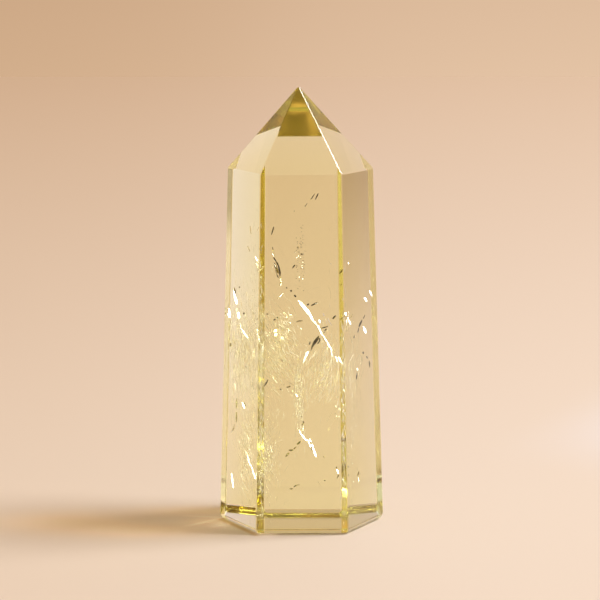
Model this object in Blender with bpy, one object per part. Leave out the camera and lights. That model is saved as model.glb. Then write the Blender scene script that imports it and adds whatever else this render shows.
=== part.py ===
"""A polished citrine point, built as one solid in metres with +Z up.

The crystal is a six-sided prism that narrows a little from its flat base to its shoulders. From the
shoulders six triangular faces rise to one tip. Each prism face has its own bearing, distance from the
long axis and inward lean, because the crystal grew unevenly, and every edge has a narrow polished round.
"""

import math
from typing import NamedTuple

import bmesh
import bpy
from mathutils import Matrix, Vector

MM = 0.001


class PrismFace(NamedTuple):
    """One side of the prism, with the upright edge that it shares with the next side."""

    turn: float
    reach: float
    lean: float
    edge_top: float


# The whole crystal
HEIGHT = 90.0 * MM
TIP_FROM_AXIS = Vector((-0.5 * MM, -1.2 * MM, HEIGHT))

# The prism faces, anticlockwise from the front as seen from above: turn in degrees from an even sixth of
# a circle, distance from the long axis at the base, lean towards the axis in degrees, and the height
# where the edge shared with the next face meets the termination.
FRONT_BEARING = -90.0
PRISM_FACES = (
    PrismFace(turn=0.0, reach=13.1 * MM, lean=1.2, edge_top=72.7 * MM),
    PrismFace(turn=-0.5, reach=14.7 * MM, lean=1.6, edge_top=73.3 * MM),
    PrismFace(turn=2.5, reach=14.8 * MM, lean=1.7, edge_top=75.8 * MM),
    PrismFace(turn=-2.0, reach=14.1 * MM, lean=1.76, edge_top=75.6 * MM),
    PrismFace(turn=-4.0, reach=14.4 * MM, lean=1.3, edge_top=73.4 * MM),
    PrismFace(turn=-1.5, reach=14.5 * MM, lean=1.3, edge_top=72.6 * MM),
)

# The polished edges: how far each round reaches from its edge, and how many facets turn it. Two edges
# are worn wider: those that run from one front shoulder corner to the tip and along the top of the right side.
BASE_ROUND = 1.3 * MM
EDGE_ROUND = 0.17 * MM
WORN_ROUND = 0.26 * MM
WORN_CORNER = 0
ROUND_FACETS = 3

CITRINE_COLOUR = (0.93, 0.78, 0.42, 1.0)
POLISH_ROUGHNESS = 0.02
QUARTZ_IOR = 1.55


def clear_scene():
    for leftover in list(bpy.data.objects):
        bpy.data.objects.remove(leftover)


def bearing_of(index):
    """The direction that a prism face looks in, in radians anticlockwise from +X."""
    even_step = 360.0 / len(PRISM_FACES)
    return math.radians(FRONT_BEARING + index * even_step + PRISM_FACES[index].turn)


def edge_point(index, height):
    """The point at a height on the edge between a prism face and the next one."""
    following = (index + 1) % len(PRISM_FACES)
    rows = []
    distances = []
    for face_index in (index, following):
        bearing = bearing_of(face_index)
        face = PRISM_FACES[face_index]
        rows.append((math.cos(bearing), math.sin(bearing)))
        distances.append(face.reach - height * math.tan(math.radians(face.lean)))
    across = Matrix(rows).inverted() @ Vector(distances)
    return Vector((across.x, across.y, height))


def footprint_centre(base_ring):
    """The middle of the sharp base outline's bounding box."""
    across = [corner.x for corner in base_ring]
    along = [corner.y for corner in base_ring]
    return Vector(((min(across) + max(across)) / 2, (min(along) + max(along)) / 2, 0.0))


def crystal_corners():
    """The base ring, the shoulder ring and the tip, moved so that the footprint is centred on the origin."""
    sides = range(len(PRISM_FACES))
    base_ring = [edge_point(index, 0.0) for index in sides]
    shoulder_ring = [edge_point(index, PRISM_FACES[index].edge_top) for index in sides]
    centre = footprint_centre(base_ring)
    base_ring = [corner - centre for corner in base_ring]
    shoulder_ring = [corner - centre for corner in shoulder_ring]
    return base_ring, shoulder_ring, TIP_FROM_AXIS - centre


def edge_round(edge, base_face, worn_corner, worn_ends):
    """How far an edge's round reaches from it."""
    if edge in base_face.edges:
        return BASE_ROUND
    if worn_corner in edge.verts and edge.other_vert(worn_corner) in worn_ends:
        return WORN_ROUND
    return EDGE_ROUND


def sharp_crystal_mesh():
    """The crystal with sharp edges, each edge marked with how much of the base round it takes."""
    base_ring, shoulder_ring, tip = crystal_corners()
    shape = bmesh.new()
    base_verts = [shape.verts.new(corner) for corner in base_ring]
    shoulder_verts = [shape.verts.new(corner) for corner in shoulder_ring]
    tip_vert = shape.verts.new(tip)
    base_face = shape.faces.new(list(reversed(base_verts)))
    for index in range(len(PRISM_FACES)):
        before = index - 1
        shape.faces.new((base_verts[before], base_verts[index], shoulder_verts[index], shoulder_verts[before]))
        shape.faces.new((shoulder_verts[before], shoulder_verts[index], tip_vert))
    worn_corner = shoulder_verts[WORN_CORNER]
    worn_ends = (tip_vert, shoulder_verts[WORN_CORNER + 1])
    round_share = shape.edges.layers.float.new("bevel_weight_edge")
    for edge in shape.edges:
        edge[round_share] = edge_round(edge, base_face, worn_corner, worn_ends) / BASE_ROUND
    mesh = bpy.data.meshes.new("crystal_point")
    shape.to_mesh(mesh)
    shape.free()
    return mesh


def round_the_edges(crystal):
    """A narrow polished round on every edge, wider where it is worn and widest around the base."""
    rounding = crystal.modifiers.new("polished_edges", "BEVEL")
    rounding.limit_method = "WEIGHT"
    rounding.offset_type = "OFFSET"
    rounding.width = BASE_ROUND
    rounding.segments = ROUND_FACETS
    rounding.use_clamp_overlap = True
    rounding.harden_normals = False


def citrine_material():
    material = bpy.data.materials.new("citrine")
    material.use_nodes = True
    shader = material.node_tree.nodes["Principled BSDF"]
    shader.inputs["Base Color"].default_value = CITRINE_COLOUR
    shader.inputs["Metallic"].default_value = 0.0
    shader.inputs["Roughness"].default_value = POLISH_ROUGHNESS
    shader.inputs["IOR"].default_value = QUARTZ_IOR
    shader.inputs["Transmission Weight"].default_value = 1.0
    return material


def build_crystal():
    mesh = sharp_crystal_mesh()
    mesh.materials.append(citrine_material())
    crystal = bpy.data.objects.new("crystal_point", mesh)
    bpy.context.scene.collection.objects.link(crystal)
    round_the_edges(crystal)
    return crystal


clear_scene()
build_crystal()
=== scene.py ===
import math
import random
from typing import NamedTuple

import bmesh
import bpy
from mathutils import Euler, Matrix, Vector


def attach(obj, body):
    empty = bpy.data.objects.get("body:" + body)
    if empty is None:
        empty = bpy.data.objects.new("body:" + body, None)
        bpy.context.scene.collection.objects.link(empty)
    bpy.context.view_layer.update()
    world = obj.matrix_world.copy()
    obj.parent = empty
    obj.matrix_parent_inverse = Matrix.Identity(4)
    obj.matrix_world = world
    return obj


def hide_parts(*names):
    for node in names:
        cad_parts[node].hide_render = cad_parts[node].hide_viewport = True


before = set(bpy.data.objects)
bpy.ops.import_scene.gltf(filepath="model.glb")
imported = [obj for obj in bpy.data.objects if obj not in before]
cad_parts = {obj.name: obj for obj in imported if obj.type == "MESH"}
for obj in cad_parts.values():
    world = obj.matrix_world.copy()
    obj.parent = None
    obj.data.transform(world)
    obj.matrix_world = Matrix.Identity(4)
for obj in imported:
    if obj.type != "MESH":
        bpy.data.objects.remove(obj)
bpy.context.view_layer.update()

MM = 0.001

# ---------------------------------------------------------------------------
# Camera: the photograph's viewpoint, in the crystal's own frame.
# ---------------------------------------------------------------------------
FRAME_PX = 600
FOCAL_PX = 1839.24
SENSOR_MM = 36.0
CAMERA_AT = Vector((-8.91, -376.74, 92.0)) * MM
CAMERA_PITCH = math.radians(-6.946)
CAMERA_YAW = math.radians(1.3015)
CAMERA_TURN = Euler((math.radians(90) + CAMERA_PITCH, 0, -CAMERA_YAW))

# ---------------------------------------------------------------------------
# Citrine: clear quartz with a pale yellow body colour.
# ---------------------------------------------------------------------------
QUARTZ_IOR = 1.55
CITRINE_PASSES = (0.85, 0.79, 0.075, 1)
CITRINE_DENSITY = 24.0
CLEAR = (1.0, 1.0, 1.0, 1)
BLOOM = (0.985, 0.985, 0.98, 1)
POLISH_ROUGHNESS = 0.012
FLAT_FACE_AREA = 20 * MM * MM
WELD = 0.001 * MM
FLAT_ANGLE = math.radians(0.5)

# ---------------------------------------------------------------------------
# Studio directions and colours: a soft key like a window at the right, a dark ceiling, a pale sky.
# ---------------------------------------------------------------------------
KEY_TURN = math.radians(3)
KEY_HEIGHT = math.radians(51)
KEY_RADIUS = math.radians(13)
KEY_STRENGTH = 2.9
KEY_COLOUR = (0.85, 0.92, 1.0)
TO_KEY = Vector((
    math.cos(KEY_HEIGHT) * math.cos(KEY_TURN),
    math.cos(KEY_HEIGHT) * math.sin(KEY_TURN),
    math.sin(KEY_HEIGHT),
))
TO_CEILING = Vector((0, 0, 1))
# The dark ceiling: straight up, and a little to the right, to the left and to the back.
DARK_TARGETS = (
    TO_CEILING,
    Vector((0.17, 0, 0.985)),
    Vector((-0.17, 0, 0.985)),
    Vector((0, 0.17, 0.985)),
)
FLASH_MARGIN = math.radians(5)
# The sky's colour by height, which is the upward part of a unit direction.
SKY = (
    (0.0, (0.706, 0.483, 0.316)),
    (0.04, (0.672, 0.452, 0.291)),
    (0.24, (0.685, 0.51, 0.38)),
    (0.5, (0.50, 0.37, 0.24)),
    (0.78, (0.42, 0.31, 0.20)),
    (0.93, (0.04, 0.03, 0.02)),
    (0.97, (0.006, 0.004, 0.003)),
)
SKY_SIDE = 0.55
TO_GLOW = Vector((0.96, -0.10, 0.25)).normalized()
GLOW = (0.34, 0.46, 0.58)
RIGHT_CORNER = (-0.17, -0.15, 0.22)
LEFT_CORNER = (0.22, 0.10, 0.13)
TO_WINDOW_WALL = Vector((0.81, 0.47, 0.34)).normalized()


def refract(direction, normal, ratio):
    """Snell's law for a unit direction that runs against a unit normal; None past the critical angle."""
    cos_in = -direction.dot(normal)
    sin_out_squared = ratio * ratio * (1 - cos_in * cos_in)
    if sin_out_squared > 1:
        return None
    return ratio * direction + (ratio * cos_in - math.sqrt(1 - sin_out_squared)) * normal


class ClearSolid:
    """The crystal's flat faces, for placing what is seen inside it."""

    PARALLEL = 1e-6
    GRAZING = 0.05
    SURE_MIRROR = 1.01
    SKIN = 0.15 * MM

    def __init__(self, mesh):
        flats = [face for face in mesh.polygons if face.area > FLAT_FACE_AREA]
        self.planes = [(face.normal.copy(), face.normal.dot(face.center)) for face in flats]

    def enter(self, pixel):
        """Where the sight line through a pixel enters, its direction inside, and the face it enters by."""
        across = (pixel[0] - FRAME_PX / 2) / FOCAL_PX
        up = (FRAME_PX / 2 - pixel[1]) / FOCAL_PX
        sight = Vector((across, up, -1))
        sight.rotate(CAMERA_TURN)
        sight.normalize()
        facing = [(n, (offset - CAMERA_AT.dot(n)) / sight.dot(n))
                  for n, offset in self.planes if sight.dot(n) < 0]
        face, distance = max(facing, key=lambda hit: hit[1])
        return CAMERA_AT + sight * distance, refract(sight, face, 1 / QUARTZ_IOR), face

    def way_out(self, point, direction):
        """How far a ray from inside runs to the first face it meets, and that face's normal."""
        ahead = [((offset - point.dot(n)) / direction.dot(n), i)
                 for i, (n, offset) in enumerate(self.planes) if direction.dot(n) > self.PARALLEL]
        distance, first = min(ahead)
        return distance, self.planes[first][0]

    def mirror_normal(self, point, sight, target):
        """The tilt at which a crack at point totally reflects target, far outside, along the sight line."""
        best = None
        for face, _ in self.planes:
            if target.dot(face) < self.GRAZING:
                continue
            inward = -refract(-target, face, 1 / QUARTZ_IOR)
            if self.way_out(point, inward)[1] != face:
                continue
            tilt = (inward - sight).normalized()
            cos_in = inward.dot(tilt)
            if QUARTZ_IOR * math.sqrt(1 - cos_in * cos_in) < self.SURE_MIRROR:
                continue
            if best is None or cos_in > best[0]:
                best = (cos_in, tilt)
        return best[1] if best else None

    def flashes_aside(self, point, tilt, seen_through):
        """Whether a crack that looks dark through one face would mirror the key light through another."""
        sight = (point - CAMERA_AT).normalized()
        for face, _ in self.planes:
            if face == seen_through or sight.dot(face) > -self.GRAZING:
                continue
            inside = refract(sight, face, 1 / QUARTZ_IOR)
            mirrored = inside - 2 * inside.dot(tilt) * tilt
            out = refract(mirrored, -self.way_out(point, mirrored)[1], QUARTZ_IOR)
            if out and out.dot(TO_KEY) > math.cos(KEY_RADIUS + FLASH_MARGIN):
                return True
        return False

    def holds(self, point):
        return all(offset - point.dot(n) > self.SKIN for n, offset in self.planes)


# ---------------------------------------------------------------------------
# Node helpers
# ---------------------------------------------------------------------------
def set_socket(tree, socket, value):
    if isinstance(value, bpy.types.NodeSocket):
        tree.links.new(value, socket)
    else:
        socket.default_value = value


def math_node(tree, operation, *values):
    node = tree.nodes.new("ShaderNodeMath")
    node.operation = operation
    for socket, value in zip(node.inputs, values):
        set_socket(tree, socket, value)
    return node.outputs[0]


def vector_node(tree, operation, **sockets):
    node = tree.nodes.new("ShaderNodeVectorMath")
    node.operation = operation
    for name, value in sockets.items():
        set_socket(tree, node.inputs[{"a": 0, "b": 1, "c": 2, "scale": 3}[name]], value)
    return node.outputs["Value"] if operation in ("LENGTH", "DOT_PRODUCT") else node.outputs["Vector"]


def spread_value(tree, value):
    """One number as all three parts of a vector."""
    node = tree.nodes.new("ShaderNodeCombineXYZ")
    for socket in node.inputs:
        tree.links.new(value, socket)
    return node.outputs[0]


def product(tree, *values):
    """The values multiplied together, first to last."""
    total = values[0]
    for value in values[1:]:
        total = math_node(tree, "MULTIPLY", total, value)
    return total


def smooth_rise(tree, value, span):
    """0 below the span and 1 above it."""
    node = tree.nodes.new("ShaderNodeMapRange")
    node.interpolation_type = "SMOOTHSTEP"
    node.inputs["From Min"].default_value, node.inputs["From Max"].default_value = span
    tree.links.new(value, node.inputs["Value"])
    return node.outputs["Result"]


def smooth_fall(tree, value, span):
    """1 below the span and 0 above it."""
    return smooth_rise(tree, product(tree, value, -1.0), (-span[1], -span[0]))


def colour_mix(tree, share, first, second):
    node = tree.nodes.new("ShaderNodeMix")
    node.data_type = "RGBA"
    colours = [socket for socket in node.inputs if socket.type == "RGBA"]
    for socket, value in zip((node.inputs["Factor"], *colours), (share, first, second)):
        set_socket(tree, socket, value)
    return next(socket for socket in node.outputs if socket.type == "RGBA")


class NoiseField(NamedTuple):
    scale: float
    detail: float


def noise_value(tree, field):
    """Noise in object space, so that it stays on the piece."""
    node = tree.nodes.new("ShaderNodeTexNoise")
    node.inputs["Scale"].default_value = field.scale
    node.inputs["Detail"].default_value = field.detail
    tree.links.new(tree.nodes.new("ShaderNodeTexCoord").outputs["Object"], node.inputs["Vector"])
    return node.outputs[0]


def new_material(name):
    material = bpy.data.materials.new(name)
    material.use_nodes = True
    return material, material.node_tree, material.node_tree.nodes["Principled BSDF"]


def new_piece(name, bm, material):
    mesh = bpy.data.meshes.new(name)
    bm.to_mesh(mesh)
    bm.free()
    mesh.materials.append(material)
    piece = bpy.data.objects.new(name, mesh)
    bpy.context.scene.collection.objects.link(piece)
    return piece


# ---------------------------------------------------------------------------
# The crystal
# ---------------------------------------------------------------------------
POLISH_CLOUDS = NoiseField(220, 3)
CLOUD_SPAN = (0.45, 0.75)
POLISH_BLOOMS = NoiseField(90, 2)
BLOOM_SPAN = (0.35, 0.65)


def hand_polish(tree, shader):
    """Faint cloudiness left by hand polishing: a roughness that comes and goes, and a little bloom."""
    cloud = smooth_rise(tree, noise_value(tree, POLISH_CLOUDS), CLOUD_SPAN)
    tree.links.new(product(tree, cloud, POLISH_ROUGHNESS), shader.inputs["Roughness"])
    bloom = smooth_rise(tree, noise_value(tree, POLISH_BLOOMS), BLOOM_SPAN)
    tree.links.new(colour_mix(tree, bloom, CLEAR, BLOOM), shader.inputs["Base Color"])


def citrine_material():
    material, tree, shader = new_material("citrine")
    shader.inputs["IOR"].default_value = QUARTZ_IOR
    shader.inputs["Transmission Weight"].default_value = 1.0
    hand_polish(tree, shader)
    body = tree.nodes.new("ShaderNodeVolumeAbsorption")
    body.inputs["Color"].default_value = CITRINE_PASSES
    body.inputs["Density"].default_value = CITRINE_DENSITY
    tree.links.new(body.outputs[0], tree.nodes["Material Output"].inputs["Volume"])
    return material


def shade_like_polish(mesh):
    """The flats stay flat, and so does the middle facet of each rounded edge: only its two flanks bend."""
    on_flat = {}
    for face in mesh.polygons:
        if face.area > FLAT_FACE_AREA:
            for vertex in face.vertices:
                on_flat[vertex] = face
    middle = {}
    for face in mesh.polygons:
        if any(vertex in on_flat for vertex in face.vertices):
            continue
        for vertex in face.vertices:
            if vertex not in middle or face.area > middle[vertex].area:
                middle[vertex] = face
    mesh.shade_smooth()
    normals = []
    for vertex in mesh.vertices:
        face = on_flat.get(vertex.index) or middle.get(vertex.index)
        normals.append(face.normal.copy() if face else vertex.normal.copy())
    mesh.normals_split_custom_set_from_vertices(normals)


def clear_crystal():
    bm = bmesh.new()
    bm.from_mesh(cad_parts["crystal_point"].data)
    bmesh.ops.remove_doubles(bm, verts=bm.verts, dist=WELD)
    bmesh.ops.dissolve_limit(bm, angle_limit=FLAT_ANGLE, verts=bm.verts, edges=bm.edges)
    crystal = new_piece("crystal_point_clear", bm, citrine_material())
    shade_like_polish(crystal.data)
    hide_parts("crystal_point")
    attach(crystal, "root")
    return crystal


# ---------------------------------------------------------------------------
# Cracks: thin voids, mirrors where they lie at a slant
# ---------------------------------------------------------------------------
SEED = 7
VOID_THICKNESS = 0.012 * MM
SEGMENT_PX = 3.5
FEATHERS = NoiseField(2600, 2)
FEATHER_ROUGHNESS = 0.16
FEATHER_STRENGTH = 0.5
FEATHER_DEPTH = 0.02 * MM
STRAND_PX = 0.8
# In pixels and mm: how deep a crack may lie beside the left edge band, which starts at LEFT_BAND_X.
LEFT_BAND_X = 262
DEPTH_PER_PX = 0.22
LEAST_DEPTH = 1.5
DEPTHS_TRIED = range(1, 40)
SPARE_DEPTH = 1.0 * MM
JUST_INSIDE = 0.2 * MM
EDGE_ON = 0.1
LENGTH_SPREAD = (0.4, 1.2)
WIDTH_SPREAD = (0.5, 1.3)


def void_material():
    """The wall of an open crack: clear, with fine feathering that breaks up what it mirrors."""
    material, tree, shader = new_material("open_crack")
    shader.inputs["IOR"].default_value = QUARTZ_IOR
    shader.inputs["Transmission Weight"].default_value = 1.0
    shader.inputs["Base Color"].default_value = CLEAR
    feathers = noise_value(tree, FEATHERS)
    tree.links.new(product(tree, feathers, FEATHER_ROUGHNESS), shader.inputs["Roughness"])
    relief = tree.nodes.new("ShaderNodeBump")
    relief.inputs["Strength"].default_value = FEATHER_STRENGTH
    relief.inputs["Distance"].default_value = FEATHER_DEPTH
    tree.links.new(feathers, relief.inputs["Height"])
    tree.links.new(relief.outputs[0], shader.inputs["Normal"])
    return material


def add_plate(bm, corners, normal):
    """A thin flat void: a closed prism that faces inward, as a wall of the solid around it does."""
    half = normal * (VOID_THICKNESS / 2)
    if (corners[1] - corners[0]).cross(corners[2] - corners[1]).dot(normal) < 0:
        corners = corners[::-1]
    top = [bm.verts.new(corner + half) for corner in corners]
    low = [bm.verts.new(corner - half) for corner in corners]
    bm.faces.new(top[::-1])
    bm.faces.new(low)
    for i in range(len(corners)):
        j = (i + 1) % len(corners)
        bm.faces.new((top[i], top[j], low[j], low[i]))


class Spot(NamedTuple):
    """A place for a crack: a point inside, the tilt there, and the face it is seen through."""

    point: Vector
    tilt: Vector
    face: Vector


class Cracks:
    """Places plates inside the solid from where they are seen in the photograph's frame."""

    def __init__(self, solid):
        self.solid = solid
        self.random = random.Random(SEED)
        self.plates = bmesh.new()

    def jittered(self, normal, degrees):
        spread = math.radians(degrees)
        shift = Vector([self.random.gauss(0, spread) for _ in normal])
        return (normal + shift).normalized()

    def find_spot(self, pixel, depth, target):
        """The spot behind a pixel nearest to depth where a crack can mirror target; None if there is none."""
        start, sight, face = self.solid.enter(pixel)
        room, _ = self.solid.way_out(start + sight * JUST_INSIDE, sight)
        depths = [k * MM for k in DEPTHS_TRIED if k * MM < room - SPARE_DEPTH]
        for tried in sorted(depths, key=lambda d: abs(d - depth)):
            point = start + sight * tried
            tilt = self.solid.mirror_normal(point, sight, target)
            if tilt and not (target in DARK_TARGETS and self.solid.flashes_aside(point, tilt, face)):
                return Spot(point, tilt, face)
        return None

    def plate(self, pixels, spot, jitter):
        """A plate seen as the outline in pixels; none if edge on, partly behind another face or outside."""
        tilt = self.jittered(spot.tilt, jitter)
        corners = []
        for pixel in pixels:
            start, sight, face = self.solid.enter(pixel)
            if face != spot.face or abs(sight.dot(tilt)) < EDGE_ON:
                return
            corners.append(start + sight * ((spot.point - start).dot(tilt) / sight.dot(tilt)))
        if all(self.solid.holds(corner) for corner in corners):
            add_plate(self.plates, corners, tilt)

    def strand(self, line, spot, shift, share, style):
        """One fibre of a crack, beside its line by a shift: short plates end to end, some left out."""
        for (x0, y0, w0), (x1, y1, w1) in zip(line, line[1:]):
            length = math.hypot(x1 - x0, y1 - y0)
            steps = max(1, round(length / SEGMENT_PX))
            side_x, side_y = (y0 - y1) / length, (x1 - x0) / length
            for k in range(steps):
                if self.random.random() < style.gaps:
                    continue
                outline = []
                for step, side in ((k, 1), (k + 1, 1), (k + 1, -1), (k, -1)):
                    t = step / steps
                    width = w0 + (w1 - w0) * t
                    off = width * (shift + side * share / 2)
                    outline.append((x0 + (x1 - x0) * t + side_x * off, y0 + (y1 - y0) * t + side_y * off))
                self.plate(outline, spot, style.jitter)

    def stroke(self, line, style):
        """A crack along a line, as fibres that catch the same light; shallow beside the front's left edge."""
        middle = line[len(line) // 2][:2]
        depth = style.depth
        past_edge = (middle[0] - LEFT_BAND_X) * DEPTH_PER_PX
        if past_edge > 0:
            depth = min(depth, max(past_edge, LEAST_DEPTH))
        spot = None
        for target in DARK_TARGETS if style.target == TO_CEILING else (style.target,):
            spot = spot or self.find_spot(middle, depth * MM, target)
        if not spot:
            return
        strands = max(1, round(max(width for _, _, width in line) / STRAND_PX))
        for strand in range(strands):
            shift = (strand + 1 / 2) / strands - 1 / 2
            self.strand(line, spot, shift, style.slim / strands, style)

    def scatter(self, veil):
        """Fine strokes over an ellipse, all heading roughly one way."""
        for _ in range(veil.count):
            x = self.random.gauss(veil.x, veil.reach_x / 2)
            y = self.random.gauss(veil.y, veil.reach_y / 2)
            way = math.radians(veil.heading + self.random.gauss(0, veil.spread))
            half = veil.length * self.random.uniform(*LENGTH_SPREAD) / 2
            wide = veil.width * self.random.uniform(*WIDTH_SPREAD) / 2
            dx, dy = math.cos(way), -math.sin(way)
            outline = [(x - dx * half, y - dy * half), (x - dy * wide, y + dx * wide),
                       (x + dx * half, y + dy * half), (x + dy * wide, y - dx * wide)]
            depth = (veil.depth + self.random.uniform(-veil.thick, veil.thick) / 2) * MM
            spot = self.find_spot((x, y), depth, veil.target)
            if spot:
                self.plate(outline, spot, veil.jitter)


class Scatter(NamedTuple):
    """Many fine strokes: x to width in pixels, depth and the layer's thickness in mm, angles in degrees."""

    x: float
    y: float
    reach_x: float
    reach_y: float
    count: int
    length: float
    width: float
    heading: float
    spread: float
    depth: float
    thick: float
    target: Vector
    jitter: float = 3.5


class Strokes(NamedTuple):
    """Cracks drawn one by one, as lines of (x, y, width) in pixels, that mirror the same thing.

    depth is in mm and jitter in degrees. gaps is the share of plates left out, and slim scales the widths.
    """

    lines: tuple
    depth: float
    target: Vector
    jitter: float
    gaps: float
    slim: float


LONG_CRACK = (
    ((298.4, 300.2, 0.7), (300.3, 302.6, 1.6)),
    ((302.3, 299.8, 0.6), (300.6, 302.4, 1.2)),
    ((300.3, 302.6, 2.2), (302.6, 305.4, 2.6), (307.5, 311.2, 3.3), (311.0, 316.8, 2.2), (313.2, 320.7, 1.2)),
    ((313.2, 320.7, 1.0), (317.8, 325.3, 1.6), (321.3, 332.7, 1.1)),
    ((319.0, 319.8, 0.6), (319.8, 321.6, 1.8), (319.5, 323.2, 0.8)),
    ((320.6, 331.2, 0.8), (321.5, 333.2, 2.0), (323.0, 335.4, 1.3), (327.6, 343.0, 1.2), (331.6, 350.6, 1.6)),
    ((331.6, 351.7, 1.3), (332.4, 356.8, 0.6)),
    ((335.6, 356.2, 0.8), (336.6, 358.8, 1.4), (337.3, 362.0, 0.5)),
    ((338.2, 356.9, 1.0), (340.0, 360.0, 2.4), (342.6, 364.0, 1.2)),
)
BRIGHT_CRACKS = (
    ((279.4, 275.6, 0.9), (280.6, 278.4, 2.0), (281.3, 282.0, 2.7), (279.8, 285.8, 1.2)),
    ((272.3, 253.4, 0.6), (273.9, 255.4, 1.5), (275.4, 257.4, 0.6)),
    ((277.4, 298.6, 0.6), (279.6, 297.2, 1.0), (282.8, 293.6, 0.8)),
    ((307.9, 351.6, 1.4), (306.6, 354.4, 2.2), (304.8, 357.8, 0.9), (303.2, 363.4, 0.5)),
    ((298.9, 430.0, 0.6), (301.6, 434.6, 1.6), (306.3, 440.7, 0.9)),
    ((309.6, 439.0, 1.0), (311.8, 444.0, 1.6), (313.6, 449.4, 1.3), (315.0, 453.6, 1.9), (316.2, 456.8, 1.0)),
    ((307.6, 439.6, 0.5), (310.6, 447.0, 1.1), (312.0, 450.6, 0.4)),
    ((283.2, 313.3, 1.3), (285.2, 313.3, 1.3)),
    ((289.8, 314.5, 1.7), (291.9, 314.5, 1.7)),
    ((285.8, 317.1, 1.1), (287.4, 317.2, 1.1)),
    ((281.0, 324.0, 0.9), (281.5, 326.6, 1.5), (283.6, 329.2, 1.5)),
    ((288.2, 328.9, 1.0), (288.9, 330.4, 1.0)),
    ((282.0, 336.4, 1.2), (282.8, 338.4, 2.1), (283.6, 340.0, 1.0)),
    ((285.9, 336.8, 1.0), (286.8, 338.0, 0.8)),
    ((275.2, 340.0, 0.9), (276.2, 342.0, 1.7), (277.8, 344.2, 1.2)),
    ((278.8, 340.4, 0.6), (280.0, 342.6, 1.1), (281.2, 343.6, 0.5)),
    ((281.6, 360.0, 0.9), (283.2, 361.4, 1.2)),
    ((291.2, 390.4, 0.8), (292.6, 391.2, 1.0)),
    ((296.0, 394.0, 0.6), (297.4, 396.6, 1.0)),
    ((337.0, 469.4, 0.8), (337.8, 471.6, 1.3), (338.4, 473.4, 0.6)),
    ((342.8, 403.8, 1.0), (343.6, 405.2, 0.9)),
)
DARK_CRACKS = (
    ((274.0, 263.0, 1.2), (275.6, 266.4, 2.0), (277.2, 270.4, 1.8), (278.4, 273.6, 0.9)),
    ((277.4, 262.4, 0.5), (278.9, 267.6, 1.3), (279.9, 272.6, 1.6), (280.0, 275.8, 1.0)),
    ((275.4, 260.2, 0.6), (276.6, 262.6, 0.8), (277.6, 265.2, 0.6)),
    ((275.3, 270.2, 0.6), (276.6, 274.6, 1.0), (278.6, 278.0, 0.5)),
    ((272.3, 247.0, 0.5), (273.8, 252.2, 0.9)),
    ((273.5, 257.2, 0.7), (275.5, 260.6, 1.0)),
    ((273.7, 226.8, 0.6), (272.6, 231.0, 0.9), (271.4, 234.8, 0.5)),
    ((318.9, 335.8, 0.6), (317.6, 338.6, 2.6), (314.6, 342.4, 3.0), (312.4, 346.4, 1.6), (310.8, 351.4, 0.4)),
    ((319.6, 338.0, 0.8), (319.9, 340.6, 1.0), (317.6, 343.8, 0.8)),
    ((310.2, 341.6, 0.6), (309.4, 344.6, 1.0)),
    ((317.9, 302.3, 0.6), (314.8, 303.8, 1.3), (311.3, 305.6, 1.0)),
    ((308.9, 303.8, 0.9), (307.2, 305.2, 1.2)),
    ((335.8, 315.5, 0.7), (334.2, 317.2, 1.5), (332.6, 318.9, 0.9)),
    ((328.0, 326.2, 0.4), (325.6, 327.2, 0.8), (321.3, 328.2, 0.6)),
    ((326.4, 328.8, 0.8), (325.0, 331.0, 1.4), (323.8, 332.6, 0.6)),
    ((300.5, 441.2, 1.0), (299.0, 442.8, 1.9), (297.0, 444.6, 0.9)),
    ((296.2, 446.6, 0.6), (294.0, 449.0, 1.3)),
    ((293.4, 449.8, 0.7), (290.9, 450.4, 1.8), (288.6, 450.0, 0.6)),
    ((289.0, 453.0, 1.0), (287.2, 454.8, 1.2), (285.6, 456.8, 0.7)),
    ((289.6, 488.6, 0.6), (291.2, 488.9, 1.2), (292.8, 488.4, 0.6)),
    ((293.8, 486.9, 0.5), (296.0, 485.4, 0.8), (299.6, 484.6, 0.5)),
    ((267.9, 379.6, 0.5), (266.2, 383.2, 1.0), (263.6, 386.8, 0.8), (262.8, 390.4, 0.5)),
    ((280.0, 389.2, 1.0), (281.4, 389.6, 0.8)),
    ((286.6, 387.4, 0.8), (290.4, 386.4, 0.9)),
    ((278.2, 317.3, 1.1), (276.9, 318.2, 1.1)),
    ((275.6, 319.0, 0.9), (273.4, 320.4, 0.9)),
    ((296.3, 321.7, 0.5), (299.0, 321.0, 0.8), (302.6, 320.9, 0.5)),
    ((266.4, 314.2, 1.2), (268.2, 314.2, 1.0)),
    ((290.5, 290.2, 1.1), (291.6, 291.6, 1.1)),
    ((294.2, 295.2, 1.0), (296.0, 296.8, 1.2)),
    ((286.0, 287.4, 0.6), (287.2, 288.4, 0.8)),
    ((294.9, 265.0, 1.0), (293.4, 266.8, 0.9), (292.4, 268.4, 0.4)),
    ((300.6, 253.8, 1.1), (302.0, 254.4, 0.8)),
    ((297.4, 247.0, 1.0), (298.6, 247.4, 0.8)),
    ((318.2, 193.4, 0.5), (317.0, 196.0, 0.9), (315.4, 199.6, 0.5)),
    ((314.6, 193.8, 0.4), (312.4, 197.4, 0.7), (310.6, 199.6, 0.4)),
    ((307.2, 203.2, 0.3), (305.0, 206.6, 0.6)),
    ((336.0, 466.8, 0.8), (336.9, 468.2, 0.7)),
    ((338.6, 475.0, 0.9), (337.0, 478.4, 0.4)),
    ((324.2, 480.2, 0.9), (325.4, 480.8, 0.7)),
    ((323.4, 456.8, 0.8), (324.3, 456.9, 0.8)),
    ((301.3, 416.4, 0.8), (302.3, 416.9, 0.7)),
    ((303.0, 421.0, 0.5), (303.6, 423.0, 0.9), (301.6, 425.6, 0.4)),
)
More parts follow.
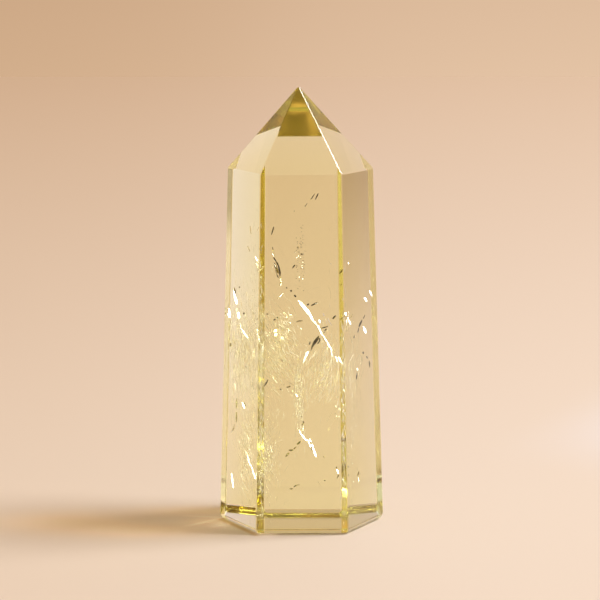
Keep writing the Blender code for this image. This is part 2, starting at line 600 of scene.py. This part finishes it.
LEFT_BRIGHT = (
    ((226.6, 304.0, 1.2), (227.6, 308.6, 3.0), (228.6, 313.0, 4.4), (229.4, 317.6, 2.6)),
    ((233.4, 290.0, 0.6), (234.4, 295.0, 1.6), (236.0, 300.4, 2.7), (236.8, 304.0, 1.4)),
    ((238.3, 312.2, 1.6), (238.8, 315.4, 2.4), (238.9, 318.6, 1.4)),
    ((241.4, 328.6, 0.8), (245.6, 334.8, 1.6), (248.0, 338.0, 0.9)),
    ((256.9, 329.0, 1.8), (257.1, 331.2, 1.8)),
    ((257.2, 332.8, 1.8), (257.3, 335.2, 1.6)),
    ((257.4, 337.2, 1.4), (258.6, 339.0, 0.9)),
    ((242.2, 402.4, 0.6), (243.4, 405.4, 1.7), (244.6, 408.4, 0.6)),
    ((245.1, 450.2, 0.5), (247.6, 456.0, 1.0), (248.9, 460.2, 2.0), (249.6, 463.2, 1.0), (252.0, 468.4, 0.8)),
    ((252.0, 468.4, 0.9), (254.4, 475.4, 1.1), (256.6, 482.4, 0.6)),
    ((231.5, 473.4, 0.6), (232.2, 479.0, 1.3), (233.3, 487.8, 0.7)),
)
LEFT_DARK = (
    ((234.2, 288.0, 0.7), (234.9, 290.4, 1.1), (235.6, 293.4, 0.6)),
    ((239.8, 286.6, 1.0), (239.2, 287.8, 0.8)),
    ((236.9, 398.0, 0.5), (236.6, 403.0, 1.2), (236.5, 408.0, 0.6)),
    ((236.5, 412.0, 0.6), (236.4, 417.2, 1.1), (236.4, 422.0, 0.5)),
    ((234.6, 424.6, 0.6), (233.6, 429.0, 1.1), (231.2, 432.4, 0.5)),
    ((243.6, 402.4, 0.5), (245.0, 405.0, 0.8), (245.9, 406.8, 0.4)),
    ((237.7, 348.6, 0.4), (239.2, 351.4, 0.7), (239.9, 354.4, 0.5)),
    ((230.4, 343.0, 1.4), (230.6, 346.4, 1.8)),
    ((245.4, 366.4, 1.0), (246.4, 367.2, 0.9)),
    ((243.8, 312.4, 1.1), (244.0, 314.4, 0.9)),
)
RIGHT_BRIGHT = (
    ((345.6, 312.4, 1.6), (346.0, 315.2, 2.0)),
    ((348.0, 317.0, 0.8), (349.0, 320.8, 1.6), (350.6, 324.4, 0.6)),
    ((346.2, 317.0, 0.6), (346.8, 323.0, 0.7), (347.0, 330.0, 0.4)),
    ((363.2, 326.4, 0.8), (364.8, 330.0, 2.4), (366.0, 333.2, 0.9)),
    ((369.6, 290.6, 0.6), (370.8, 293.4, 1.5), (372.0, 296.0, 0.6)),
    ((364.4, 297.6, 1.0), (365.6, 299.2, 1.9), (366.8, 301.4, 0.9)),
    ((348.4, 262.2, 0.9), (348.6, 263.8, 0.8)),
    ((358.2, 478.0, 0.9), (358.9, 482.2, 0.5)),
    ((357.2, 368.4, 0.8), (357.8, 370.0, 0.7)),
)
RIGHT_DARK = (
    ((362.2, 319.8, 0.6), (360.6, 323.2, 1.5), (359.0, 326.8, 1.0)),
    ((364.9, 314.8, 0.4), (363.4, 318.6, 0.6)),
    ((358.8, 328.0, 0.5), (357.8, 332.4, 0.7)),
    ((354.4, 335.4, 0.6), (353.8, 338.2, 0.7)),
    ((363.0, 351.8, 0.8), (363.4, 353.8, 0.9)),
    ((366.4, 356.2, 0.6), (367.6, 358.4, 0.7)),
    ((369.2, 361.0, 0.5), (369.6, 364.0, 1.0), (369.8, 367.4, 0.6)),
    ((357.0, 372.8, 0.5), (356.8, 376.2, 1.0), (356.4, 379.4, 0.5)),
    ((358.8, 471.2, 0.6), (358.2, 473.8, 1.4), (357.6, 476.2, 0.7)),
)
DRAWN_CRACKS = (
    Strokes(LONG_CRACK, 15, TO_KEY, jitter=2.6, gaps=0.05, slim=0.62),
    Strokes(BRIGHT_CRACKS, 12, TO_KEY, jitter=2.1, gaps=0.0, slim=0.65),
    Strokes(DARK_CRACKS, 10, TO_CEILING, jitter=0.6, gaps=0.0, slim=1.4),
    Strokes(LEFT_BRIGHT, 8, TO_KEY, jitter=1.5, gaps=0.0, slim=0.8),
    Strokes(LEFT_DARK, 8, TO_CEILING, jitter=0.6, gaps=0.0, slim=1.4),
    Strokes(RIGHT_BRIGHT, 6, TO_KEY, jitter=1.5, gaps=0.0, slim=0.6),
    Strokes(RIGHT_DARK, 6, TO_CEILING, jitter=0.6, gaps=0.0, slim=1.4),
)
# Pale veils first, then the specks that sparkle or look dark.
SCATTERED_CRACKS = (
    Scatter(276, 358, 20, 30, 260, 8, 0.6, -55, 12, 14, 6, TO_GLOW),
    Scatter(278, 352, 22, 34, 700, 12, 0.22, -58, 10, 16, 6, TO_GLOW, jitter=5),
    Scatter(298, 392, 4, 34, 120, 9, 0.6, 85, 8, 14, 4, TO_GLOW),
    Scatter(300, 400, 6, 40, 260, 12, 0.22, 85, 8, 14, 4, TO_GLOW, jitter=5),
    Scatter(324, 370, 18, 30, 90, 10, 0.5, 80, 14, 14, 6, TO_GLOW),
    Scatter(324, 374, 22, 34, 400, 14, 0.2, 80, 14, 14, 6, TO_GLOW, jitter=5),
    Scatter(283, 328, 12, 20, 120, 5, 0.6, -50, 22, 12, 4, TO_GLOW),
    Scatter(240, 350, 13, 50, 150, 11, 0.5, 92, 6, 9, 4, TO_GLOW),
    Scatter(240, 350, 16, 60, 600, 16, 0.2, 92, 6, 9, 4, TO_GLOW, jitter=5),
    Scatter(247, 455, 7, 34, 110, 10, 0.5, -70, 7, 8, 4, TO_GLOW),
    Scatter(246, 450, 9, 40, 300, 14, 0.2, -72, 7, 8, 4, TO_GLOW, jitter=5),
    Scatter(268, 462, 8, 16, 60, 6, 0.5, 70, 30, 10, 4, TO_GLOW),
    Scatter(268, 450, 14, 40, 260, 10, 0.2, 70, 30, 10, 4, TO_GLOW, jitter=5),
    Scatter(360, 335, 10, 50, 110, 10, 0.5, -78, 12, 7, 4, TO_GLOW),
    Scatter(360, 360, 12, 80, 600, 16, 0.2, -84, 8, 7, 4, TO_GLOW, jitter=5),
    Scatter(261, 390, 2.6, 120, 700, 7, 0.4, 90, 14, 5, 5, TO_WINDOW_WALL, jitter=5),
    Scatter(343.5, 400, 2.2, 110, 420, 7, 0.35, 90, 14, 5, 5, TO_WINDOW_WALL, jitter=5),
    Scatter(300, 258, 5, 26, 70, 1.6, 0.6, 60, 60, 12, 4, TO_CEILING, jitter=3),
    Scatter(300, 262, 6, 22, 50, 1.4, 0.3, 60, 60, 12, 4, TO_KEY, jitter=9),
    Scatter(338, 408, 4, 18, 60, 1.4, 0.35, 0, 90, 5, 3, TO_KEY, jitter=9),
    Scatter(283, 332, 16, 24, 60, 2.0, 0.3, -50, 30, 12, 4, TO_KEY, jitter=9),
    Scatter(290, 385, 24, 40, 50, 1.8, 0.25, -50, 40, 12, 6, TO_KEY, jitter=9),
)


def open_cracks(crystal):
    cracks = Cracks(ClearSolid(crystal.data))
    for strokes in DRAWN_CRACKS:
        for line in strokes.lines:
            cracks.stroke(line, strokes)
    for veil in SCATTERED_CRACKS:
        cracks.scatter(veil)
    piece = new_piece("open_cracks", cracks.plates, void_material())
    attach(piece, "root")


# ---------------------------------------------------------------------------
# Floor: pale paper with painted light and shade. Its places are in metres, and its left and right are as the
# camera sees them.
# ---------------------------------------------------------------------------
FLOOR_DROP = 0.1 * MM
FLOOR_REACH = 200.0
FLOOR_CORNERS = 96
FLOOR_GLOSS = 0.3
FLOOR_ROUGHNESS = 0.6
GRAIN = NoiseField(1400, 4)
GRAIN_SPAN = (0.3, 0.7)
GRAIN_TONE = (0.994, 0.994, 0.994, 1)
CENTRE_BLEND = 0.02
# Painted shade: the paper darker and warmer with distance.
FLOOR_NEAR = (0.895, 0.715, 0.56, 1)
FLOOR_FAR_SHADE = (0.688, 0.470, 0.308, 1)
FLOOR_TONE_REACH = 0.6
# Painted light and shade from side to side.
SIDE_LIGHT_TINT = (0.17, 0.24, 0.34)
SIDE_NEAR_REACH = 0.13
SIDE_FAR_SPREAD = 0.14
# Painted light: the patch that the window lights, painted into the paper's colour.
LIT_TONE = (0.99, 0.93, 0.98, 1)
LIT_SHARE = 0.56
LIT_RIGHT = (0.42, 0.66)
LIT_BACK = (0.0, 0.35)
LIT_DISTANCE = (0.07, 0.15)
# Painted shade far to the left, and a dark band far to the right.
LEFT_SHADE_TONE = (0.46, 0.29, 0.15, 1)
LEFT_SHADE_SHARE = 0.85
LEFT_SHADE_LEFT = (0.2, 0.65)
LEFT_SHADE_DISTANCE = (0.15, 0.9)
RIGHT_SHADE_TONE = (0.16, 0.12, 0.085, 1)
RIGHT_SHADE_RIGHT = (0.78, 0.90)
RIGHT_SHADE_DISTANCE = (0.36, 0.50)
# Painted shade: the golden line beside the base.
UPRIGHT = 0.2
WELL_INSIDE = -1.0
CONTACT_SHADE_TONE = (0.80, 0.64, 0.40)
CONTACT_STARTS = (-1.5 * MM, -0.3 * MM)
CONTACT_ENDS = (-0.2 * MM, 1.0 * MM)
CONTACT_LEFT = (7.5 * MM, 10.5 * MM)


class PaintedLightPool(NamedTuple):
    """Painted light on the paper: place, reach along and across its heading in mm, heading in degrees."""

    x: float
    y: float
    long: float
    wide: float
    heading: float
    strength: float


# Painted light: the pools glow on the paper as the light the crystal gathers would.
PALE_LIGHT = (1.0, 0.66, 0.48)
GOLDEN_LIGHT = (1.0, 0.53, 0.10)
PALE_PAINTED_POOLS = (
    PaintedLightPool(-1.2, 13.4, 2.2, 1.0, 0, 1.25),
    PaintedLightPool(2.0, 11.0, 2.6, 1.3, 90, 0.55),
    PaintedLightPool(2.8, 7.0, 2.2, 1.8, 90, 0.26),
    PaintedLightPool(-5.2, 9.6, 3.0, 1.6, 90, 0.14),
    PaintedLightPool(0.5, 6.0, 6.0, 6.0, 0, 0.07),
    PaintedLightPool(11.5, -4.0, 1.6, 1.6, 0, 0.35),
    PaintedLightPool(-7.4, -10.2, 3.6, 2.2, 90, 0.34),
    PaintedLightPool(-1.5, -8.0, 1.8, 1.8, 0, 0.30),
    PaintedLightPool(-17.0, -5.0, 2.4, 2.0, 60, 0.16),
    PaintedLightPool(-20.6, -2.6, 4.5, 0.7, 43, 0.14),
    PaintedLightPool(-20.0, 2.4, 4.5, 0.6, 168, 0.12),
)
GOLDEN_PAINTED_POOLS = (
    PaintedLightPool(-50.0, -1.5, 17.0, 10.0, 0, 0.18),
    PaintedLightPool(-22.0, 8.0, 13.0, 5.0, 0, 0.15),
    PaintedLightPool(-31.0, -10.0, 14.0, 6.0, 0, 0.15),
    PaintedLightPool(-19.5, -1.5, 5.0, 3.5, 0, 0.13),
    PaintedLightPool(6.2, -10.4, 1.8, 1.4, 0, 0.34),
    PaintedLightPool(9.6, -5.4, 2.4, 1.5, 60, 0.34),
)


class Place(NamedTuple):
    """A floor point as node outputs: where it is, how far, and how much of that is to the right and back."""

    point: bpy.types.NodeSocket
    x: bpy.types.NodeSocket
    y: bpy.types.NodeSocket
    distance: bpy.types.NodeSocket
    right: bpy.types.NodeSocket
    back: bpy.types.NodeSocket


def floor_place(tree):
    point = tree.nodes.new("ShaderNodeTexCoord").outputs["Object"]
    parts = tree.nodes.new("ShaderNodeSeparateXYZ")
    tree.links.new(point, parts.inputs[0])
    x, y, _ = parts.outputs
    distance = vector_node(tree, "LENGTH", a=point)
    rim = math_node(tree, "ADD", distance, CENTRE_BLEND)
    return Place(point, x, y, distance, math_node(tree, "DIVIDE", x, rim), math_node(tree, "DIVIDE", y, rim))


def painted_distance_shade(tree, place):
    """Painted shade: darker and warmer with distance."""
    reach = math_node(tree, "ADD", place.distance, FLOOR_TONE_REACH)
    return colour_mix(tree, math_node(tree, "DIVIDE", place.distance, reach), FLOOR_NEAR, FLOOR_FAR_SHADE)


def painted_side_light(tree, place, tone):
    """Painted light and shade: paler and cooler towards the window at the right, darker and warmer away from
    it.
    """
    reach = math_node(tree, "ADD", math_node(tree, "ABSOLUTE", place.x), SIDE_NEAR_REACH)
    reach = math_node(tree, "MULTIPLY_ADD", place.distance, SIDE_FAR_SPREAD, reach)
    tint = vector_node(tree, "SCALE", a=SIDE_LIGHT_TINT, scale=math_node(tree, "DIVIDE", place.x, reach))
    return vector_node(tree, "MULTIPLY_ADD", a=tone, b=tint, c=tone)


def painted_window_light(tree, place, tone):
    """Painted light: the patch behind and to the right that the window lights most, painted into the paper's
    colour.
    """
    lit = product(
        tree,
        smooth_rise(tree, place.right, LIT_RIGHT),
        LIT_SHARE,
        smooth_rise(tree, place.back, LIT_BACK),
        smooth_rise(tree, place.distance, LIT_DISTANCE),
    )
    return colour_mix(tree, lit, tone, LIT_TONE)


def painted_far_shades(tree, place, tone):
    """Painted shade on the paper: darker far to the left, and a dark band far to the right."""
    left = smooth_rise(tree, product(tree, place.right, -1.0), LEFT_SHADE_LEFT)
    left = product(tree, left, smooth_rise(tree, place.distance, LEFT_SHADE_DISTANCE), LEFT_SHADE_SHARE)
    tone = colour_mix(tree, left, tone, LEFT_SHADE_TONE)
    right = product(
        tree,
        smooth_rise(tree, place.right, RIGHT_SHADE_RIGHT),
        smooth_rise(tree, place.distance, RIGHT_SHADE_DISTANCE),
    )
    return colour_mix(tree, right, tone, RIGHT_SHADE_TONE)


def contact_share(tree, place, base_sides):
    """A narrow ring along the base's outline."""
    outside = WELL_INSIDE
    for normal, offset in base_sides:
        along = vector_node(tree, "DOT_PRODUCT", a=place.point, b=tuple(normal))
        outside = math_node(tree, "MAXIMUM", outside, math_node(tree, "SUBTRACT", along, offset))
    gone = smooth_rise(tree, outside, CONTACT_ENDS)
    return product(tree, smooth_rise(tree, outside, CONTACT_STARTS), math_node(tree, "SUBTRACT", 1.0, gone))


def painted_contact_shade(tree, place, tone, base_sides):
    """Painted shade beside the base at the left: the paper darkened to gold, as where the only light comes
    through the crystal.
    """
    left = smooth_rise(tree, product(tree, place.x, -1.0), CONTACT_LEFT)
    contact = product(tree, contact_share(tree, place, base_sides), left)
    golden = vector_node(tree, "MULTIPLY", a=tone, b=CONTACT_SHADE_TONE)
    return colour_mix(tree, contact, tone, golden)


def paper_grain(tree):
    """Fine mottling of uncoated paper."""
    return colour_mix(tree, smooth_rise(tree, noise_value(tree, GRAIN), GRAIN_SPAN), GRAIN_TONE, CLEAR)


def pool_share(tree, place, pool):
    """1 in the middle of a pool of light, fading in every direction."""
    turn = math.radians(pool.heading)
    from_x = math_node(tree, "SUBTRACT", place.x, pool.x * MM)
    from_y = math_node(tree, "SUBTRACT", place.y, pool.y * MM)
    apart = 0.0
    for reach, part_x, part_y in ((pool.long, math.cos(turn), math.sin(turn)),
                                  (pool.wide, -math.sin(turn), math.cos(turn))):
        part = product(tree, from_x, part_x / (reach * MM))
        part = math_node(tree, "MULTIPLY_ADD", from_y, part_y / (reach * MM), part)
        apart = math_node(tree, "MULTIPLY_ADD", part, part, apart)
    return math_node(tree, "EXPONENT", product(tree, apart, -1.0))


def painted_light_pools(tree, place):
    """Painted light: pools that glow on the paper under the crystal and beside it, in place of the light it
    gathers.
    """
    light = (0.0, 0.0, 0.0)
    for colour, pools in ((PALE_LIGHT, PALE_PAINTED_POOLS), (GOLDEN_LIGHT, GOLDEN_PAINTED_POOLS)):
        total = 0.0
        for pool in pools:
            total = math_node(tree, "MULTIPLY_ADD", pool_share(tree, place, pool), pool.strength, total)
        light = vector_node(tree, "MULTIPLY_ADD", a=colour, b=spread_value(tree, total), c=light)
    return light


def floor_material(base_sides):
    material, tree, shader = new_material("floor_paper")
    shader.inputs["Roughness"].default_value = FLOOR_ROUGHNESS
    shader.inputs["Specular IOR Level"].default_value = FLOOR_GLOSS
    place = floor_place(tree)
    # Painted light and shade in the paper's colour: with distance, from side to side, the window patch, the
    # far shades and the line beside the base.
    tone = painted_side_light(tree, place, painted_distance_shade(tree, place))
    tone = painted_far_shades(tree, place, painted_window_light(tree, place, tone))
    tone = painted_contact_shade(tree, place, tone, base_sides)
    tone = vector_node(tree, "MULTIPLY", a=tone, b=paper_grain(tree))
    tree.links.new(tone, shader.inputs["Base Color"])
    # Painted light: the pools glow through the paper's emission.
    tree.links.new(painted_light_pools(tree, place), shader.inputs["Emission Color"])
    shader.inputs["Emission Strength"].default_value = 1.0
    return material


def add_floor(crystal):
    bm = bmesh.new()
    bmesh.ops.create_circle(bm, cap_ends=True, segments=FLOOR_CORNERS, radius=FLOOR_REACH)
    bmesh.ops.translate(bm, verts=bm.verts, vec=(0, 0, -FLOOR_DROP))
    sides = [(n, offset) for n, offset in ClearSolid(crystal.data).planes if abs(n.z) < UPRIGHT]
    new_piece("floor", bm, floor_material(sides))


# ---------------------------------------------------------------------------
# Sky. Spans are parts of a unit direction: to the right, to the back, or up.
# ---------------------------------------------------------------------------
FLOOR_TINT_HEIGHT = (0.045, 0.10)
FLOOR_TINT_SIDE = (0.22, 0.40)
BAND_FOOT = (0.08, 0.15)
BAND_TOP = (0.42, 0.62)
GLOW_BACK = (0.4, 0.85)
CORNER_BACK = (0.40, 0.60)
CORNER_SIDE = (0.42, 0.62)


def sky_ramp(tree, height):
    """The sky's colour from the horizon to the dark ceiling."""
    ramp = tree.nodes.new("ShaderNodeValToRGB")
    stops = ramp.color_ramp.elements
    for stop, (level, colour) in zip(stops, (SKY[0], SKY[-1])):
        stop.position, stop.color = level, (*colour, 1)
    for level, colour in SKY[1:-1]:
        stops.new(level).color = (*colour, 1)
    tree.links.new(height, ramp.inputs[0])
    return ramp.outputs[0]


def brighter_right(tree, colour, right, height):
    """Brighter to the right. Low and ahead it follows the floor's painted side light, so that no horizon
    shows.
    """
    wide = math_node(tree, "ABSOLUTE", right)
    side = vector_node(tree, "SCALE", a=(SKY_SIDE, SKY_SIDE, SKY_SIDE), scale=right)
    reach = math_node(tree, "ADD", wide, SIDE_FAR_SPREAD)
    floor_side = vector_node(tree, "SCALE", a=SIDE_LIGHT_TINT, scale=math_node(tree, "DIVIDE", right, reach))
    above = smooth_rise(tree, height, FLOOR_TINT_HEIGHT)
    beside = smooth_rise(tree, wide, FLOOR_TINT_SIDE)
    side = colour_mix(tree, math_node(tree, "MAXIMUM", above, beside), floor_side, side)
    return vector_node(tree, "MULTIPLY_ADD", a=colour, b=side, c=colour)


def low_band(tree, colour, right, back, height):
    """A low band of sky: cool and bright in front and at the sides, with two tinted corners at the back."""
    band = product(tree, smooth_rise(tree, height, BAND_FOOT), smooth_fall(tree, height, BAND_TOP))
    lifted = product(tree, band, smooth_fall(tree, back, GLOW_BACK))
    colour = vector_node(tree, "MULTIPLY_ADD", a=GLOW, b=spread_value(tree, lifted), c=colour)
    behind = product(tree, smooth_rise(tree, back, CORNER_BACK), band)
    left = product(tree, right, -1.0)
    for side, tint in ((right, RIGHT_CORNER), (left, LEFT_CORNER)):
        corner = product(tree, smooth_rise(tree, side, CORNER_SIDE), behind)
        change = vector_node(tree, "SCALE", a=tint, scale=corner)
        colour = vector_node(tree, "MULTIPLY_ADD", a=colour, b=change, c=colour)
    return colour


def add_sky():
    world = bpy.data.worlds.new("studio")
    bpy.context.scene.world = world
    world.use_nodes = True
    tree = world.node_tree
    parts = tree.nodes.new("ShaderNodeSeparateXYZ")
    tree.links.new(tree.nodes.new("ShaderNodeTexCoord").outputs["Generated"], parts.inputs[0])
    right, back, height = parts.outputs
    colour = brighter_right(tree, sky_ramp(tree, height), right, height)
    colour = low_band(tree, colour, right, back, height)
    tree.links.new(colour, tree.nodes["Background"].inputs["Color"])


# ---------------------------------------------------------------------------
# Key light, camera and light paths
# ---------------------------------------------------------------------------
CLIP_NEAR = 0.01
CLIP_FAR = 500
BOUNCES = 48
GLOSSY_BOUNCES = 24
TRANSPARENT_BOUNCES = 32


def add_key():
    light = bpy.data.lights.new("key", "SUN")
    light.angle = 2 * KEY_RADIUS
    light.energy = KEY_STRENGTH
    light.color = KEY_COLOUR
    key = bpy.data.objects.new("key", light)
    key.rotation_euler = (-TO_KEY).to_track_quat("-Z", "Y").to_euler()
    bpy.context.scene.collection.objects.link(key)


def add_camera():
    data = bpy.data.cameras.new("camera")
    data.sensor_width = SENSOR_MM
    data.lens = FOCAL_PX * SENSOR_MM / FRAME_PX
    data.clip_start = CLIP_NEAR
    data.clip_end = CLIP_FAR
    camera = bpy.data.objects.new("camera", data)
    camera.location = CAMERA_AT
    camera.rotation_euler = CAMERA_TURN
    bpy.context.scene.collection.objects.link(camera)
    bpy.context.scene.camera = camera


def light_paths():
    """Enough bounces for light to cross the crystal and its cracks many times."""
    scene = bpy.context.scene
    scene.view_settings.view_transform = "Standard"
    scene.cycles.max_bounces = BOUNCES
    scene.cycles.transmission_bounces = BOUNCES
    scene.cycles.glossy_bounces = GLOSSY_BOUNCES
    scene.cycles.transparent_max_bounces = TRANSPARENT_BOUNCES


add_camera()
crystal = clear_crystal()
open_cracks(crystal)
add_floor(crystal)
add_sky()
add_key()
light_paths()
